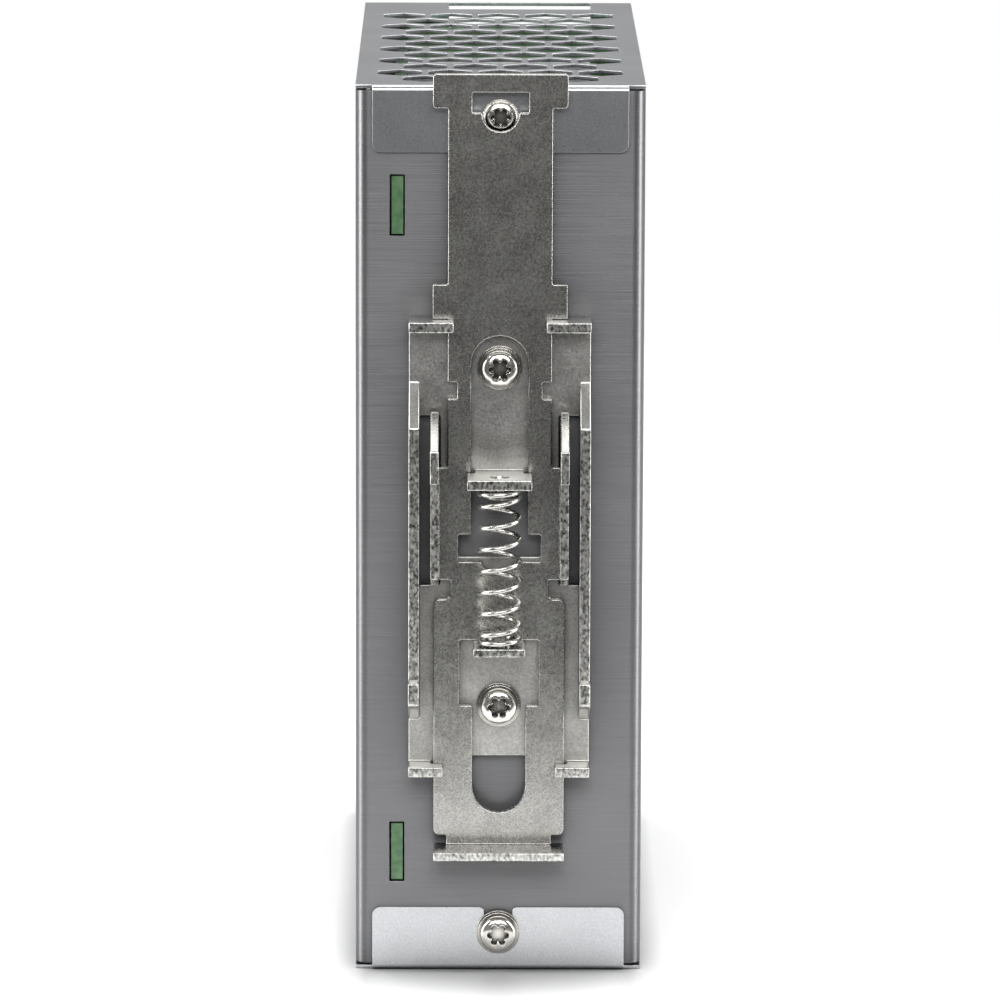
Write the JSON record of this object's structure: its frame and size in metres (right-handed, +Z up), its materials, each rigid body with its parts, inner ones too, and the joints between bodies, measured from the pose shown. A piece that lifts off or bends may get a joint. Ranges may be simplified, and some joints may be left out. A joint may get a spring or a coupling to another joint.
{
  "type": "din rail power supply",
  "caption": "Tall slim power supply in a vented sheet-metal case, with a sprung clip on its rear for a 35 mm rail and screw terminals at its front.",
  "frame": {"origin": "centre of the bounding box's footprint, on the surface that the bottom panel stands on", "axes": "+Z up the case, -Y out of the front with its terminals, +Y out of the rear with its rail clip, X across the width"},
  "size_m": [0.04, 0.1104, 0.1269],
  "materials": {
    "brushed_sheet": "brushed stainless sheet",
    "satin_sheet": "fine satin plated sheet",
    "nickel_plate": "speckled satin nickel plating",
    "spring_wire": "bright drawn wire",
    "bright_screw": "bright nickel plating",
    "circuit_board": "green solder mask",
    "terminal_plastic": "moulded plastic",
    "brass": "bare brass",
    "black_plastic": "moulded epoxy",
    "copper": "enamelled copper",
    "heat_sink": "plain aluminium",
    "yellow_film": "film case and tape",
    "blue_coating": "epoxy coating",
    "cream_film": "insulating film and ceramic",
    "ferrite": "ferrite",
    "clear_plastic": "clear plastic",
    "capacitor_sleeve": "printed-free sleeve over an aluminium can"
  },
  "bodies": {
    "case": {"rear_shell": "brushed_sheet", "front_frame": "satin_sheet", "clip_base": "nickel_plate", "clip_spring": "spring_wire", "clip_screw_lower": "bright_screw", "clip_nut_lower": "bright_screw", "clip_screw_upper": "bright_screw", "clip_nut_upper": "bright_screw", "frame_screw_top": "bright_screw", "frame_screw_bottom": "bright_screw", "main_board": "circuit_board", "board_spacer_lower": "brass", "board_screw_lower": "bright_screw", "board_spacer_upper": "brass", "board_screw_upper": "bright_screw", "insulation_sheet": "cream_film", "front_board": "circuit_board", "output_terminal": "terminal_plastic", "input_terminal": "terminal_plastic", "light_pipe": "clear_plastic", "status_led": "clear_plastic", "trimmer_body": "blue_coating", "input_fuse": "cream_film", "x_capacitor": "yellow_film", "line_choke_core": "ferrite", "line_choke_base": "black_plastic", "varistor": "blue_coating", "inrush_thermistor": "black_plastic", "bridge_rectifier": "black_plastic", "bulk_capacitor": "capacitor_sleeve", "primary_heat_sink": "heat_sink", "power_transistor": "black_plastic", "transformer_core": "ferrite", "transformer_winding": "yellow_film", "secondary_heat_sink": "heat_sink", "output_rectifier": "black_plastic", "output_inductor": "copper", "output_capacitor_1": "capacitor_sleeve", "output_capacitor_2": "capacitor_sleeve", "optocoupler": "black_plastic", "control_chip": "black_plastic"},
    "clip_slider": {"clip_slider": "nickel_plate"},
    "trimmer_rotor": {"trimmer_rotor": "cream_film"},
    "output_screw_1": {"output_screw_1": "bright_screw"},
    "output_clamp_1": {"output_clamp_1": "brass"},
    "output_screw_2": {"output_screw_2": "bright_screw"},
    "output_clamp_2": {"output_clamp_2": "brass"},
    "output_screw_3": {"output_screw_3": "bright_screw"},
    "output_clamp_3": {"output_clamp_3": "brass"},
    "output_screw_4": {"output_screw_4": "bright_screw"},
    "output_clamp_4": {"output_clamp_4": "brass"},
    "input_screw_1": {"input_screw_1": "bright_screw"},
    "input_clamp_1": {"input_clamp_1": "brass"},
    "input_screw_2": {"input_screw_2": "bright_screw"},
    "input_clamp_2": {"input_clamp_2": "brass"},
    "input_screw_3": {"input_screw_3": "bright_screw"},
    "input_clamp_3": {"input_clamp_3": "brass"}
  },
  "joints": [
    {"name": "clip_slide", "type": "slide", "parent": "case", "child": "clip_slider", "axis": [0, 0, 1], "range_m": [0, 0.01], "stiffness_N_per_m": 2600, "springref_m": -0.0038, "deforming": ["clip_spring"]},
    {"name": "trimmer_turn", "type": "hinge", "parent": "case", "child": "trimmer_rotor", "pos_m": [-0.00326, -0.0531, 0.0835], "axis": [0, 1, 0], "range_deg": [-130, 130]},
    {"name": "output_screw_1_turn", "type": "hinge", "parent": "case", "child": "output_screw_1", "pos_m": [-0.01088, -0.0532, 0.1138], "axis": [0, 1, 0], "range_deg": [0, 2520]},
    {"name": "output_clamp_1_slide", "type": "slide", "parent": "case", "child": "output_clamp_1", "axis": [0, -1, 0], "range_m": [0, 0.0035]},
    {"name": "output_screw_2_turn", "type": "hinge", "parent": "case", "child": "output_screw_2", "pos_m": [-0.0058, -0.0532, 0.1138], "axis": [0, 1, 0], "range_deg": [0, 2520]},
    {"name": "output_clamp_2_slide", "type": "slide", "parent": "case", "child": "output_clamp_2", "axis": [0, -1, 0], "range_m": [0, 0.0035]},
    {"name": "output_screw_3_turn", "type": "hinge", "parent": "case", "child": "output_screw_3", "pos_m": [-0.00072, -0.0532, 0.1138], "axis": [0, 1, 0], "range_deg": [0, 2520]},
    {"name": "output_clamp_3_slide", "type": "slide", "parent": "case", "child": "output_clamp_3", "axis": [0, -1, 0], "range_m": [0, 0.0035]},
    {"name": "output_screw_4_turn", "type": "hinge", "parent": "case", "child": "output_screw_4", "pos_m": [0.00436, -0.0532, 0.1138], "axis": [0, 1, 0], "range_deg": [0, 2520]},
    {"name": "output_clamp_4_slide", "type": "slide", "parent": "case", "child": "output_clamp_4", "axis": [0, -1, 0], "range_m": [0, 0.0035]},
    {"name": "input_screw_1_turn", "type": "hinge", "parent": "case", "child": "input_screw_1", "pos_m": [-0.0058, -0.0532, 0.0112], "axis": [0, 1, 0], "range_deg": [0, 2520]},
    {"name": "input_clamp_1_slide", "type": "slide", "parent": "case", "child": "input_clamp_1", "axis": [0, -1, 0], "range_m": [0, 0.0035]},
    {"name": "input_screw_2_turn", "type": "hinge", "parent": "case", "child": "input_screw_2", "pos_m": [-0.00072, -0.0532, 0.0112], "axis": [0, 1, 0], "range_deg": [0, 2520]},
    {"name": "input_clamp_2_slide", "type": "slide", "parent": "case", "child": "input_clamp_2", "axis": [0, -1, 0], "range_m": [0, 0.0035]},
    {"name": "input_screw_3_turn", "type": "hinge", "parent": "case", "child": "input_screw_3", "pos_m": [0.00436, -0.0532, 0.0112], "axis": [0, 1, 0], "range_deg": [0, 2520]},
    {"name": "input_clamp_3_slide", "type": "slide", "parent": "case", "child": "input_clamp_3", "axis": [0, -1, 0], "range_m": [0, 0.0035]}
  ]
}
